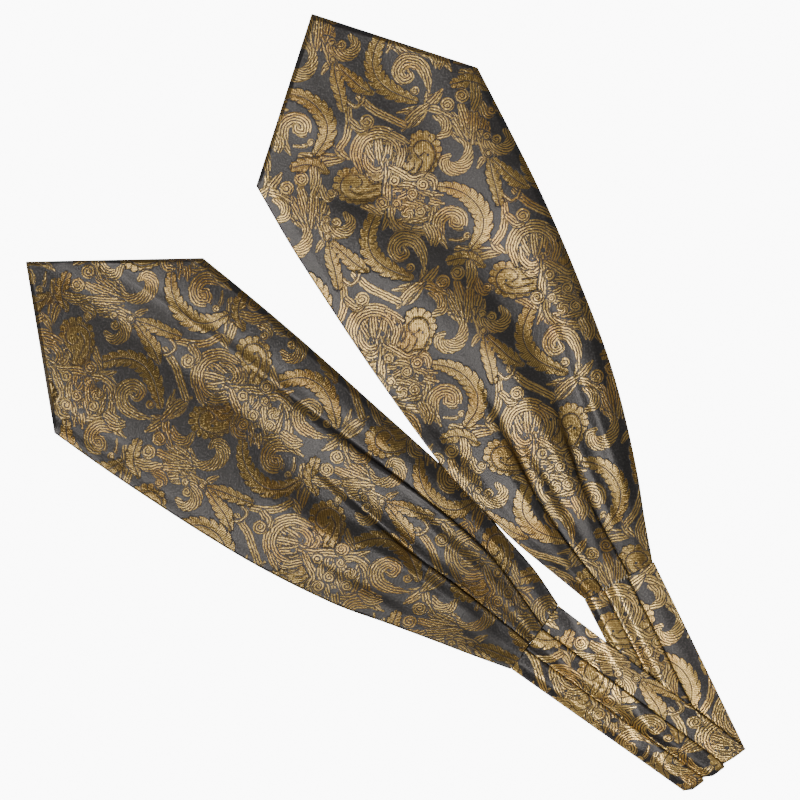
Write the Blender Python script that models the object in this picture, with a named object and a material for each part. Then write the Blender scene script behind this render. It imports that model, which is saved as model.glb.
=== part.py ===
"""A day cravat laid flat: two pointed tails of doubled silk, pleated into a narrow neckband.

The neckband is folded in half, so the tails lie side by side and spread away from the fold.
Lengths are in millimetres until the last step, which hands metres to Blender.
In each tail and each half of the neckband, s runs along the cloth and t across it, to the right.
"""

import math

import bmesh
import bpy
import numpy as np

MM = 0.001

# Cloth
PANEL_WALL = 1.0
BAND_WALL = 1.2
GAP = 0.3

# The neckband's fold: its half length, its slant from +X in degrees, and how far its bulge is drawn in
FOLD_HALF = 26.4
FOLD_SLANT = -6.7
BULGE_SHARE = 0.8
BULGE_REACH = 2.6
BAND_HALF = 27.7

# One row for each half: neckband length and turn, tail length and turn, in degrees to the left of +Y
HALF_COLUMNS = ("name", "band_length", "band_turn", "tail_length", "tail_turn")
HALVES = (
    ("left", 157.7, 12.75, 442.8, 12.98),
    ("right", 149.7, -13.83, 451.5, -12.13),
)

# Tail outlines: a row for each station, with the reach of the cloth to each side of the axis
OUTLINE_COLUMNS = ("s", "left", "right")
OUTLINES = {
    "left": (
        (0, 28.3, 30.0),
        (28, 36.4, 38.0),
        (56, 44.2, 44.3),
        (90, 54.0, 52.4),
        (123, 63.9, 57.8),
        (147, 68.9, 60.3),
        (189, 75.6, 64.2),
        (231, 79.6, 68.2),
        (273, 82.2, 71.6),
        (315, 84.0, 74.2),
        (355, 84.6, 76.0),
    ),
    "right": (
        (0, 27.4, 26.9),
        (28, 38.8, 36.0),
        (56, 50.2, 45.9),
        (90, 61.0, 56.1),
        (123, 69.8, 64.4),
        (147, 73.6, 69.0),
        (189, 79.1, 74.6),
        (231, 83.6, 79.0),
        (273, 87.2, 81.9),
        (315, 90.3, 83.2),
        (364, 91.6, 84.2),
    ),
}

# Where the slanting end of each tail starts on its left and right edge
CORNERS = {"left": (355.4, 344.7), "right": (364.0, 362.9)}

# Two knife pleats in each half. A row for each: where its crease lies across the cloth at four stations,
# and how far it runs into the tail before it has opened flat
PLEAT_STATIONS = (0, 60, 120, 180)
PLEAT_COLUMNS = ("creases", "length")
PLEATS = {
    "left": (
        ((-6.0, -4.2, -4.0, 2.0), 185),
        ((9.0, 27.0, 32.0, 32.0), 250),
    ),
    "right": (
        ((-13.4, -22.5, -23.0, -21.0), 165),
        ((7.4, 7.2, 16.0, 24.0), 150),
    ),
}
BAND_CREASES = {"left": (-11.0, 7.2), "right": (-13.0, 5.8)}

# How a pleat opens along its length: the turn at its crease in degrees, the turn's radius,
# and the run of cloth folded back under it
OPENING_COLUMNS = ("share", "turn", "radius", "under")
OPENING = (
    (0.00, 180, 0.65, 6.0),
    (0.15, 174, 0.68, 6.0),
    (0.35, 140, 0.95, 2.4),
    (0.55, 85, 2.2, 1.0),
    (0.75, 42, 5.2, 1.0),
    (1.00, 2, 12.0, 1.0),
)
BAND_OPENING = (180, 0.75, 7.0)
STRIP_CROWN = 0.5

# Soft folds: where each starts and ends along the tail, its place across at its start, middle and end,
# its height, and its width to the left and right. A trough has a height below nothing.
FOLD_COLUMNS = ("from", "to", "t_from", "t_mid", "t_to", "height", "wide_left", "wide_right")
SOFT_FOLDS = {
    "left": (
        (4, 225, 5, 6, 17, 3.2, 6, 15),
        (45, 275, 31, 42, 51, 3.0, 7, 15),
        (60, 300, 28, 33, 34, -2.6, 13, 6),
        (90, 200, -5, -1, 6, -1.6, 14, 6),
        (66, 122, -6, -9, -12, 1.2, 5, 5),
        (6, 64, -22, -24, -26, 1.3, 5, 6),
        (180, 420, 22, 18, 4, -3.2, 26, 22),
        (90, 440, -30, -40, -24, 2.0, 26, 26),
        (185, 400, 58, 60, 50, 2.4, 20, 16),
    ),
    "right": (
        (4, 190, 4, 0, 2, 3.0, 10, 7),
        (60, 230, 10, 29, -6, -3.0, 12, 14),
        (190, 330, 4, -20, -44, -3.0, 20, 24),
        (20, 175, -18, -24, -21, -1.8, 10, 6),
        (72, 132, 8, 9, 6, -1.4, 4, 4),
        (14, 150, -30, -44, -50, 1.8, 12, 12),
        (30, 260, 26, 48, 50, 1.6, 14, 14),
        (240, 440, 48, 10, -30, 2.6, 26, 30),
        (180, 300, -60, -48, -30, 2.0, 18, 18),
        (230, 380, -80, -84, -80, -1.6, 14, 10),
    ),
}
BILLOW = 3.4
EDGE_FALL = 16.0

# Rows along a tail, the columns of its back as shares of the reach to each side, closer where it is
# lifted, and steps across each strip and round each turn
TAIL_ROWS = 27
BACK_COLUMNS = (-1.0, -0.9, -0.8, -0.7, -0.6, -0.3, 0.0, 1.0)
BAND_ROWS = 8
NOSE_ROWS = 6
STRIP_STEPS = 6
TURN_STEPS = 3

# Where the right tail's edge lies on the left tail: how high it is lifted. How far the ramps run
# where one piece climbs over another
TAIL_LIFT = 3.2
TAIL_RAMP = 15.0
BAND_RAMP = 16.0

GOLD_BROCADE = (0.30, 0.22, 0.10)
SHADED_BROCADE = (0.22, 0.17, 0.09)


def column(table, names, name):
    """One named column of a table, as numbers."""
    return np.array([row[names.index(name)] for row in table], float)


def named_rows(rows, names):
    """The rows of a table as dictionaries."""
    return [dict(zip(names, row)) for row in rows]


def ease(x):
    """0 up to 0, 1 from 1 on, and a smooth S between."""
    x = np.clip(x, 0.0, 1.0)
    return x * x * (3.0 - 2.0 * x)


def curve(stations, values, at):
    """A smooth curve through the values, flat past both ends."""
    stations = np.asarray(stations, float)
    values = np.asarray(values, float)
    slopes = np.gradient(values, stations)
    at = np.clip(at, stations[0], stations[-1])
    i = np.clip(np.searchsorted(stations, at) - 1, 0, len(stations) - 2)
    span = stations[i + 1] - stations[i]
    q = (at - stations[i]) / span
    start = (1 + 2 * q) * (1 - q) ** 2 * values[i] + q * (1 - q) ** 2 * span * slopes[i]
    end = q * q * (3 - 2 * q) * values[i + 1] + q * q * (q - 1) * span * slopes[i + 1]
    return start + end


def heading(turn):
    """The direction that lies a turn, in degrees, to the left of +Y."""
    return np.array([-math.sin(math.radians(turn)), math.cos(math.radians(turn))])


def rightward(direction):
    """The direction a quarter turn to the right."""
    return np.array([direction[1], -direction[0]])


class Half:
    """One tail with its half of the neckband, placed from the middle of the neckband's fold."""

    def __init__(self, row):
        self.name = row["name"]
        self.seam = row["band_length"] * heading(row["band_turn"])
        self.along = heading(row["tail_turn"])
        self.across = rightward(self.along)
        self.length = row["tail_length"]
        self.outline = OUTLINES[self.name]
        self.corners = CORNERS[self.name]
        self.pleats = named_rows(PLEATS[self.name], PLEAT_COLUMNS)
        self.folds = named_rows(SOFT_FOLDS[self.name], FOLD_COLUMNS)

    def reach(self, side, s):
        """How far the tail's cloth reaches to one side of its axis."""
        stations = column(self.outline, OUTLINE_COLUMNS, "s")
        return curve(stations, column(self.outline, OUTLINE_COLUMNS, side), s)

    def place(self, s, t):
        """Plan positions for places along and across the tail."""
        return self.seam + np.multiply.outer(s, self.along) + np.multiply.outer(t, self.across)

    def local(self, plan):
        """Places along and across the tail for plan positions."""
        offset = plan - self.seam
        return offset @ self.along, offset @ self.across


LEFT, RIGHT = (Half(row) for row in named_rows(HALVES, HALF_COLUMNS))


def pleat_turn(turn, radius, under):
    """The S of a knife pleat: round its crease, back under and round again, and where its crease lies."""
    turn = math.radians(turn)
    angles = np.linspace(0.0, turn, TURN_STEPS + 1)
    first = np.stack([radius * np.sin(angles), -radius * (1 - np.cos(angles))], axis=1)
    total = 2 * first[-1] + under * np.array([math.cos(turn), -math.sin(turn)])
    second = total - first[::-1]
    return np.concatenate([first, second]), radius * math.sin(min(turn, math.pi / 2))


def strip(start, shown_from, high_from, end, high, wall):
    """One strip between pleats: flat where it is hidden, up beside the crease above it, then level."""
    crown_at = np.linspace(0.0, 1.0, STRIP_STEPS + 1)
    t = shown_from + (end - shown_from) * crown_at
    z = high * ease((t - shown_from) / max(high_from - shown_from, wall))
    z = z + STRIP_CROWN * np.sin(math.pi * crown_at) ** 2
    shown = np.stack([t, z], axis=1)
    return shown if start is None else np.concatenate([[(start, 0.0)], shown])


def pleated_section(left, right, creases, openings, wall):
    """The middle line of the cloth across the piece: three strips joined by two knife pleats."""
    points = []
    start = None
    shown_from = -left
    for crease, opening in zip(creases, openings):
        shape, crease_reach = pleat_turn(*opening)
        radius = opening[1]
        end = crease - crease_reach
        drop = -shape[-1, 1]
        stack = end + shape[-1, 0] - min(crease_reach, radius) - 0.5 * wall - GAP
        points.append(strip(start, shown_from, min(end, stack), end, drop, wall))
        points.append(shape[1:] + (end, drop))
        start = end + shape[-1, 0] + 0.5 * wall
        shown_from = max(start, crease + 0.5 * wall) + GAP
    points.append(strip(start, shown_from, right, right, 0.0, wall))
    return np.concatenate(points)


def tail_section(half, s):
    """The middle line across a tail at one station, with its points spread evenly once the pleats are open."""
    left, right = half.reach("left", s), half.reach("right", s)
    creases = [float(curve(PLEAT_STATIONS, pleat["creases"], s)) for pleat in half.pleats]
    openings = []
    for pleat in half.pleats:
        share = s / pleat["length"]
        shares = column(OPENING, OPENING_COLUMNS, "share")
        openings.append([float(curve(shares, column(OPENING, OPENING_COLUMNS, name), share)) for name in OPENING_COLUMNS[1:]])
    line = pleated_section(left, right, creases, openings, PANEL_WALL)
    lengths = [pleat["length"] for pleat in half.pleats]
    spread = float(ease((s - 0.58 * max(lengths)) / (0.96 * min(lengths) - 0.58 * max(lengths))))
    if spread > 0.0:
        even = np.linspace(-1.0, 1.0, len(line))
        even = np.where(even < 0, even * left, even * right)
        t = (1 - spread) * line[:, 0] + spread * even
        line = np.stack([t, np.interp(t, line[:, 0], line[:, 1])], axis=1)
    return line


def soft_relief(half, s, t, share):
    """The height of the soft folds and of the billow over a tail, fading to nothing at its edges."""
    height = BILLOW * ease(s / 90) * np.ones_like(t)
    for fold in half.folds:
        q = np.clip((s - fold["from"]) / (fold["to"] - fold["from"]), 0.0, 1.0)
        middle = (1 - q) * (1 - 2 * q) * fold["t_from"] + 4 * q * (1 - q) * fold["t_mid"]
        middle = middle + q * (2 * q - 1) * fold["t_to"]
        width = np.where(t < middle, fold["wide_left"], fold["wide_right"])
        height = height + fold["height"] * np.sin(math.pi * q) ** 1.2 * np.exp(-(((t - middle) / width) ** 2))
    height = 0.5 * (height + np.sqrt(height**2 + 0.5))
    inside = np.minimum(half.reach("left", s) + t, half.reach("right", s) - t)
    end_fade = ease((1.0 - share) * half.length / EDGE_FALL)
    return height * ease(inside / EDGE_FALL) * end_fade * ease(s / 12)


def tail_stations(half, share, t):
    """How far along the tail each point of one row lies: the rows bend into the pointed end."""
    low, high = half.corners
    v = np.where(t < 0, t / half.reach("left", share * low), t / half.reach("right", share * high))
    corner = 0.5 * (low + high) + 0.5 * (high - low) * v
    point = half.length - 0.5 * (low + high)
    bend = np.clip((share - 0.4) / 0.6, 0.0, 1.0)
    return GAP + share * (corner - GAP) + bend * point * (1 - np.abs(v))


def tail_shares():
    """The rows of a tail as shares of its length, closer together at the neck."""
    return np.linspace(0.0, 1.0, TAIL_ROWS) ** 1.1


def back_row(half, share):
    """One row of a tail's back: how far along and across each point lies, and how far it is lifted."""
    v = np.array(BACK_COLUMNS)
    low, high = half.corners
    t = np.where(v < 0, v * half.reach("left", share * low), v * half.reach("right", share * high))
    s = tail_stations(half, share, t)
    return s, t, edge_lift(half.place(s, t)) if half is RIGHT else np.zeros(len(t))


def edge_lift(plan):
    """How far the right tail is lifted where its edge lies on the left tail."""
    s, t = LEFT.local(plan)
    beyond = t - LEFT.reach("right", np.clip(s, 0.0, LEFT.corners[1]))
    return TAIL_LIFT * (1 - ease((beyond - 1.5) / TAIL_RAMP))


def offset_line(line, distance):
    """A line across the cloth moved square to itself, towards its left hand."""
    tangent = np.gradient(line, axis=0)
    normal = np.stack([-tangent[:, 1], tangent[:, 0]], axis=1)
    normal /= np.linalg.norm(normal, axis=1)[:, None]
    return line + distance * normal


def solid_from_rows(name, outer, inner, colour, parent):
    """A closed wall between two grids of points, as an object with its own material."""
    mesh = bmesh.new()
    grids = [[[mesh.verts.new([c * MM for c in point]) for point in row] for row in grid] for grid in (outer, inner)]
    rows, columns = len(outer), len(outer[0])
    for side, grid in enumerate(grids):
        for j in range(rows - 1):
            for i in range(columns - 1):
                corners = [grid[j][i], grid[j][i + 1], grid[j + 1][i + 1], grid[j + 1][i]]
                mesh.faces.new(corners if side == 0 else corners[::-1])
    top, under = grids
    for j in range(rows - 1):
        mesh.faces.new([top[j + 1][0], under[j + 1][0], under[j][0], top[j][0]])
        mesh.faces.new([top[j][-1], under[j][-1], under[j + 1][-1], top[j + 1][-1]])
    for i in range(columns - 1):
        mesh.faces.new([top[0][i], under[0][i], under[0][i + 1], top[0][i + 1]])
        mesh.faces.new([top[-1][i + 1], under[-1][i + 1], under[-1][i], top[-1][i]])
    bmesh.ops.recalc_face_normals(mesh, faces=mesh.faces)
    data = bpy.data.meshes.new(name)
    mesh.to_mesh(data)
    mesh.free()
    data.shade_smooth()
    data.set_sharp_from_angle(angle=math.radians(50))
    material = bpy.data.materials.new(name)
    material.use_nodes = True
    shader = material.node_tree.nodes["Principled BSDF"]
    shader.inputs["Base Color"].default_value = (*colour, 1.0)
    shader.inputs["Roughness"].default_value = 0.45
    shader.inputs["Metallic"].default_value = 0.25
    data.materials.append(material)
    piece = bpy.data.objects.new(name, data)
    piece.parent = parent
    bpy.context.scene.collection.objects.link(piece)
    return piece


def tail_front(half, base, parent):
    """The patterned front panel of a tail, with its pleats at the neck and its soft folds."""
    outer, inner = [], []
    for share in tail_shares():
        line = tail_section(half, share * 0.5 * sum(half.corners))
        stations = tail_stations(half, share, line[:, 0])
        line[:, 1] += soft_relief(half, stations, line[:, 0], share)
        _, back_t, back_lift = back_row(half, share)
        lift = np.interp(line[:, 0], back_t, back_lift)
        for rows, side in ((outer, 0.5), (inner, -0.5)):
            moved = offset_line(line, side * PANEL_WALL)
            moved[[0, -1], 0] = line[[0, -1], 0]
            plan = half.place(stations, moved[:, 0])
            rows.append(np.column_stack([plan, moved[:, 1] + base + 0.5 * PANEL_WALL + lift]))
    return solid_from_rows(half.name + "_tail_front", outer, inner, GOLD_BROCADE, parent)


def tail_back(half, parent):
    """The back panel of a tail, flat on the surface under the whole outline of the front."""
    outer, inner = [], []
    for share in tail_shares():
        s, t, lift = back_row(half, share)
        plan = half.place(s, t)
        inner.append(np.column_stack([plan, lift]))
        outer.append(np.column_stack([plan, lift + PANEL_WALL]))
    return solid_from_rows(half.name + "_tail_back", outer, inner, SHADED_BROCADE, parent)


def band_height():
    """How thick the pleated neckband is: three layers of its doubled cloth and the gaps between them."""
    return 4 * BAND_OPENING[1] + BAND_WALL + STRIP_CROWN


def band_lines(half):
    """The two grids of a half's pleated cloth, as places across it and heights above its underside."""
    line = pleated_section(BAND_HALF, BAND_HALF, BAND_CREASES[half.name], [BAND_OPENING] * 2, BAND_WALL)
    line[:, 1] += 0.5 * BAND_WALL
    lines = []
    for side in (0.5, -0.5):
        moved = offset_line(line, side * BAND_WALL)
        moved[[0, -1], 0] = line[[0, -1], 0]
        lines.append(moved)
    return lines


def fold_line():
    """The middle and the direction of the line that the neckband is folded on, and the way out past it."""
    slant = math.radians(FOLD_SLANT)
    direction = np.array([math.cos(slant), math.sin(slant)])
    outward = rightward(direction)
    return -BULGE_REACH * outward, direction, outward


def band_plan(half, share, t, short_by=0.0):
    """Plan positions on one row of a half's neckband, from its seam to the fold."""
    middle, direction, outward = fold_line()
    v = t / BAND_HALF
    at_seam = half.seam + np.multiply.outer(v * BAND_HALF, half.across)
    at_fold = middle - short_by * outward + np.multiply.outer(v * FOLD_HALF, direction)
    return (1 - share) * at_seam + share * at_fold


def lower_leg(half, parent):
    """The half of the neckband that lies on the surface, up to just short of the fold."""
    grids = []
    for line in band_lines(half):
        rows = [
            np.column_stack([band_plan(half, share, line[:, 0], GAP), line[:, 1]])
            for share in np.linspace(0.0, 1.0, BAND_ROWS)
        ]
        grids.append(rows)
    return solid_from_rows("neckband_lower_leg", *grids, SHADED_BROCADE, parent)


def upper_leg(half, under, parent):
    """The half that climbs over the other one, with the round fold that turns down to meet it."""
    middle, direction, outward = fold_line()
    climb = band_height() + GAP
    edge_from = under.seam - BAND_HALF * under.across
    edge_to = middle - FOLD_HALF * direction
    edge = (edge_to - edge_from) / np.linalg.norm(edge_to - edge_from)
    into = -rightward(edge)
    grids = []
    for line in band_lines(half):
        rows = []
        for share in np.linspace(0.0, 1.0, BAND_ROWS):
            plan = band_plan(half, share, line[:, 0])
            inside = (plan - edge_from) @ into
            rows.append(np.column_stack([plan, line[:, 1] + climb * ease(1 + inside / BAND_RAMP)]))
        pivot = climb - 0.5 * GAP
        reach = line[:, 1] + 0.5 * GAP
        for angle in np.linspace(0.0, math.pi, NOSE_ROWS + 1)[1:]:
            plan = band_plan(half, 1.0, line[:, 0])
            plan = plan + np.multiply.outer(BULGE_SHARE * reach * math.sin(angle), outward)
            rows.append(np.column_stack([plan, pivot + reach * math.cos(angle)]))
        grids.append(rows)
    return solid_from_rows("neckband_upper_leg", *grids, GOLD_BROCADE, parent)


def centre_on_origin(parent, pieces):
    """Moves the parent so that the middle of the whole plan lies over the origin."""
    points = np.array([vertex.co for piece in pieces for vertex in piece.data.vertices])
    low, high = points.min(axis=0), points.max(axis=0)
    parent.location = (-0.5 * (low[0] + high[0]), -0.5 * (low[1] + high[1]), -low[2])
    print("size in mm", np.round((high - low) / MM, 1), "fold's middle", np.round(np.array(parent.location) / MM, 2))


def main():
    for left_over in list(bpy.data.objects):
        bpy.data.objects.remove(left_over)
    parent = bpy.data.objects.new("silk_cravat", None)
    bpy.context.scene.collection.objects.link(parent)
    pieces = []
    for half in (LEFT, RIGHT):
        pieces.append(tail_back(half, parent))
        pieces.append(tail_front(half, PANEL_WALL + GAP, parent))
    pieces.append(lower_leg(RIGHT, parent))
    pieces.append(upper_leg(LEFT, RIGHT, parent))
    centre_on_origin(parent, pieces)


main()
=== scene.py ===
# %% [markdown]
# # A silk cravat, laid flat
# A day cravat is one long piece of doubled silk: two wide pointed tails, and between them a narrow
# neckband into which the tails are pleated. Here the neckband is folded in half, so that the tails
# lie side by side. This lesson dresses the plain CAD solids in woven silk. The solids give the place
# and the size of everything, so the first step is to load them.

# %% Load the frame
import math

import bpy
import numpy as np
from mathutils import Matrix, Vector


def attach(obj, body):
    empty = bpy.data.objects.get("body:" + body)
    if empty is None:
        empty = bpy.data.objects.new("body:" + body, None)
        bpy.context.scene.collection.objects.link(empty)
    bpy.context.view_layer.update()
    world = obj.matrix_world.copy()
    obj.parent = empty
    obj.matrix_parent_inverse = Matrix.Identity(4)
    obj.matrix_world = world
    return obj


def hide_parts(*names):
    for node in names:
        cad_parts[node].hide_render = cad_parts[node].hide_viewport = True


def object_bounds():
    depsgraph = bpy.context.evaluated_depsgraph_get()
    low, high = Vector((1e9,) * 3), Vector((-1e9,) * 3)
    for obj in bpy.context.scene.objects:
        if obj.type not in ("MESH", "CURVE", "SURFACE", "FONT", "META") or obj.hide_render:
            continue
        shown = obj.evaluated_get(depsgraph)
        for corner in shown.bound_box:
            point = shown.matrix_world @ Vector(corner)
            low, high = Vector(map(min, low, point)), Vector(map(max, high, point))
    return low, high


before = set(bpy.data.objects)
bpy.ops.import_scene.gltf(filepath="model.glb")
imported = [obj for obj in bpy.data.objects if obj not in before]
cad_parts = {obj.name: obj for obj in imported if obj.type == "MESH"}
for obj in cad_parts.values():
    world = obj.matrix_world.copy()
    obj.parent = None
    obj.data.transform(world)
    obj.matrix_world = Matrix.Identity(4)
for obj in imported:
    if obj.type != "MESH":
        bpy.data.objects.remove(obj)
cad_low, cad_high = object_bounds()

MM = 0.001
print("CAD box in mm:", [round(x / MM, 1) for x in (*cad_low, *cad_high)])

# %% [markdown]
# ## Tools for smooth curves
# Cloth has few straight lines, so most of the shape is given as a handful of measured places with
# a smooth curve through them. These two helpers do that all through the lesson.

# %% Smooth steps and smooth curves
def ease(x):
    """0 up to 0, 1 from 1 on, and a smooth S between."""
    x = np.clip(x, 0.0, 1.0)
    return x * x * (3.0 - 2.0 * x)


def curve(stations, values, at):
    """A smooth curve through the values, flat past both ends."""
    stations = np.asarray(stations, float)
    values = np.asarray(values, float)
    slopes = np.gradient(values, stations)
    at = np.clip(at, stations[0], stations[-1])
    i = np.clip(np.searchsorted(stations, at) - 1, 0, len(stations) - 2)
    span = stations[i + 1] - stations[i]
    q = (at - stations[i]) / span
    start = (1 + 2 * q) * (1 - q) ** 2 * values[i] + q * (1 - q) ** 2 * span * slopes[i]
    end = q * q * (3 - 2 * q) * values[i + 1] + q * q * (q - 1) * span * slopes[i + 1]
    return start + end


def arc_lengths(line):
    """How far along a line of points each point lies."""
    return np.concatenate([[0.0], np.cumsum(np.linalg.norm(np.diff(line, axis=0), axis=1))])


# %% [markdown]
# ## The two halves of the cravat
# Each tail is described along its own axis: s runs from the neck seam to the point, and t across
# it, to the right. A tail's outline is its reach to each side at a few stations. Lengths are in
# millimetres until the last step of each piece, which hands metres to Blender.

# %% Outlines of the tails
HALF_COLUMNS = ("name", "band_length", "band_turn", "tail_length", "tail_turn")
HALVES = (
    ("left", 157.7, 12.75, 442.8, 12.98),
    ("right", 149.7, -13.83, 451.5, -12.13),
)
OUTLINES = {
    "left": (
        (0, 28.1, 28.4),
        (28, 36.4, 38.0),
        (56, 44.2, 44.3),
        (90, 54.0, 52.4),
        (123, 63.9, 57.8),
        (147, 68.9, 60.3),
        (189, 75.6, 64.2),
        (231, 79.6, 68.2),
        (273, 82.2, 71.6),
        (315, 84.0, 74.2),
        (355, 84.6, 76.0),
    ),
    "right": (
        (0, 27.4, 26.9),
        (28, 38.8, 36.0),
        (56, 50.2, 45.9),
        (90, 61.0, 56.1),
        (123, 69.8, 64.4),
        (147, 73.6, 69.0),
        (189, 79.1, 74.6),
        (231, 83.6, 79.0),
        (273, 87.2, 81.9),
        (315, 90.3, 83.2),
        (364, 91.6, 84.2),
    ),
}
CORNERS = {"left": (355.4, 344.7), "right": (364.0, 362.9)}

# %% [markdown]
# ## Pleats and soft folds
# Two knife pleats narrow each tail to the neckband. A knife pleat is an S: the cloth turns over at
# a crease, runs back under itself, and turns again. Away from the neck the turn opens until the
# cloth lies flat. Between and beyond the pleats lie soft folds, each a ridge or a trough that is
# placed one by one, with its own height and with a steep and a gentle side. A cloth simulation could
# make folds as well, but not where the photograph shows them.

# %% Pleats
PLEAT_STATIONS = (0, 60, 120, 180)
PLEATS = {
    "left": (((-6.0, -4.2, -4.0, 2.0), 185), ((9.0, 27.0, 32.0, 32.0), 250)),
    "right": (((-13.4, -22.5, -23.0, -21.0), 165), ((7.4, 7.2, 16.0, 24.0), 150)),
}
OPENING_SHARES = (0.00, 0.15, 0.35, 0.55, 0.75, 1.00)
OPENING = {
    "turn": (180, 174, 140, 85, 42, 2),
    "radius": (0.65, 0.68, 0.95, 2.2, 5.2, 12.0),
    "under": (6.0, 6.0, 2.4, 1.0, 1.0, 1.0),
}

# %% Soft folds
FOLD_COLUMNS = ("from", "to", "t_from", "t_mid", "t_to", "height", "wide_left", "wide_right")
SOFT_FOLDS = {
    "left": (
        (4, 215, 4, 8, 18, 3.0, 9, 12),
        (45, 230, 34, 42, 50, 2.4, 8, 12),
        (120, 480, 26, 28, 18, -4.8, 26, 10),
        (165, 500, -44, -60, -62, 4.4, 13, 46),
        (150, 430, 48, 50, 38, 2.2, 20, 30),
        (85, 240, 1, -2, -8, -2.6, 16, 9),
        (70, 225, -18, -27, -34, 3.2, 12, 14),
        (4, 90, -20, -22, -26, 1.6, 7, 8),
        (60, 130, -40, -46, -52, -1.2, 10, 8),
        (20, 150, -12, -14, -18, 1.5, 4, 5),
        (30, 140, 12, 16, 22, 1.4, 4, 5),
        (24, 170, 22, 30, 38, 1.2, 4, 5),
        (50, 210, 4, 4, 8, 1.3, 5, 6),
        (60, 200, -34, -42, -52, 1.3, 5, 7),
    ),
    "right": (
        (4, 200, -4, 2, 4, 2.8, 12, 9),
        (70, 300, 26, 34, 4, -4.2, 16, 14),
        (120, 330, 14, -18, -62, 4.2, 24, 24),
        (255, 352, 16, -8, -66, -4.0, 16, 12),
        (270, 400, 34, 10, -44, 2.8, 16, 44),
        (10, 120, -34, -36, -44, 1.8, 10, 8),
        (30, 260, 30, 48, 56, 2.2, 9, 14),
        (100, 190, -44, -52, -58, -1.6, 9, 12),
        (120, 420, 62, 66, 60, 2.8, 28, 16),
        (320, 480, -34, -26, -10, 1.8, 20, 34),
        (20, 140, -8, -10, -14, 1.3, 4, 4),
        (16, 120, 14, 18, 24, 1.3, 4, 4),
        (40, 170, 32, 40, 44, 1.3, 5, 5),
        (30, 130, -22, -30, -36, 1.2, 4, 5),
    ),
}
print("Soft folds:", {name: len(folds) for name, folds in SOFT_FOLDS.items()})

# %% A tail's own axes
def heading(turn):
    """The direction that lies a turn, in degrees, to the left of +Y."""
    return np.array([-math.sin(math.radians(turn)), math.cos(math.radians(turn))])


def rightward(direction):
    """The direction a quarter turn to the right."""
    return np.array([direction[1], -direction[0]])


class Half:
    """One tail with its half of the neckband, placed from the middle of the neckband's fold."""

    def __init__(self, row):
        row = dict(zip(HALF_COLUMNS, row))
        self.name = row["name"]
        self.band_length = row["band_length"]
        self.seam = row["band_length"] * heading(row["band_turn"])
        self.along = heading(row["tail_turn"])
        self.across = rightward(self.along)
        self.length = row["tail_length"]
        self.outline = np.array(OUTLINES[self.name], float)
        self.corners = CORNERS[self.name]
        self.pleats = PLEATS[self.name]
        self.folds = [dict(zip(FOLD_COLUMNS, fold)) for fold in SOFT_FOLDS[self.name]]

    def reach(self, side, s):
        """How far the tail's cloth reaches to one side of its axis."""
        return curve(self.outline[:, 0], self.outline[:, 1 if side == "left" else 2], s)

    def place(self, s, t):
        """Plan positions for places along and across the tail."""
        return self.seam + np.multiply.outer(s, self.along) + np.multiply.outer(t, self.across)

    def local(self, plan):
        """Places along and across the tail for plan positions."""
        offset = plan - self.seam
        return offset @ self.along, offset @ self.across


LEFT, RIGHT = (Half(row) for row in HALVES)
print("Tail lengths in mm:", LEFT.length, RIGHT.length)

# %% [markdown]
# ## The cloth in section
# The section is drawn as one line of points: strip, S-turn, strip, S-turn, strip. It is then read
# off at even steps along the cloth itself, not along the table, so the weave keeps its size where
# the cloth goes under a pleat.

# %% One pleated section
PANEL_WALL = 1.0
GAP = 0.3
STRIP_CROWN = 0.5
STRIP_STEPS = 30
TURN_STEPS = 9


def pleat_turn(turn, radius, under):
    """The S of a knife pleat: round its crease, back under and round again, and where its crease lies."""
    turn = math.radians(turn)
    angles = np.linspace(0.0, turn, TURN_STEPS + 1)
    first = np.stack([radius * np.sin(angles), -radius * (1 - np.cos(angles))], axis=1)
    total = 2 * first[-1] + under * np.array([math.cos(turn), -math.sin(turn)])
    second = total - first[::-1]
    return np.concatenate([first, second]), radius * math.sin(min(turn, math.pi / 2))


def strip(start, shown_from, high_from, end, high, wall):
    """One strip between pleats: flat where it is hidden, up beside the crease above it, then level."""
    crown_at = np.linspace(0.0, 1.0, STRIP_STEPS + 1)
    t = shown_from + (end - shown_from) * crown_at
    z = high * ease((t - shown_from) / max(high_from - shown_from, wall))
    z = z + STRIP_CROWN * np.sin(math.pi * crown_at) ** 2
    shown = np.stack([t, z], axis=1)
    return shown if start is None else np.concatenate([[(start, 0.0)], shown])


def pleated_section(left, right, creases, openings, wall):
    """The middle line of the cloth across the piece: three strips joined by two knife pleats."""
    points = []
    start = None
    shown_from = -left
    for crease, opening in zip(creases, openings):
        shape, crease_reach = pleat_turn(*opening)
        end = crease - crease_reach
        drop = -shape[-1, 1]
        stack = end + shape[-1, 0] - min(crease_reach, opening[1]) - 0.5 * wall - GAP
        points.append(strip(start, shown_from, min(end, stack), end, drop, wall))
        points.append(shape[1:] + (end, drop))
        start = end + shape[-1, 0] + 0.5 * wall
        shown_from = max(start, crease + 0.5 * wall) + GAP
    points.append(strip(start, shown_from, right, right, 0.0, wall))
    return np.concatenate(points)


def offset_line(line, distance):
    """A line across the cloth moved square to itself, towards its left hand."""
    tangent = np.gradient(line, axis=0)
    normal = np.stack([-tangent[:, 1], tangent[:, 0]], axis=1)
    normal /= np.linalg.norm(normal, axis=1)[:, None]
    return line + np.multiply.outer(distance, np.ones(2)) * normal


# %% Steps across the cloth, closer at its edges
EDGE_STEPS = (0.0, 0.0, 0.12, 0.4, 0.8, 1.3)
EDGE_BAND = 2.0


def steps_across(length, count):
    """Even steps along the cloth, with closer ones where its edges turn down."""
    inner = np.linspace(EDGE_BAND, length - EDGE_BAND, count - 2 * len(EDGE_STEPS))
    edge = np.array(EDGE_STEPS)
    return np.concatenate([edge, inner, length - edge[::-1]])


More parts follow.
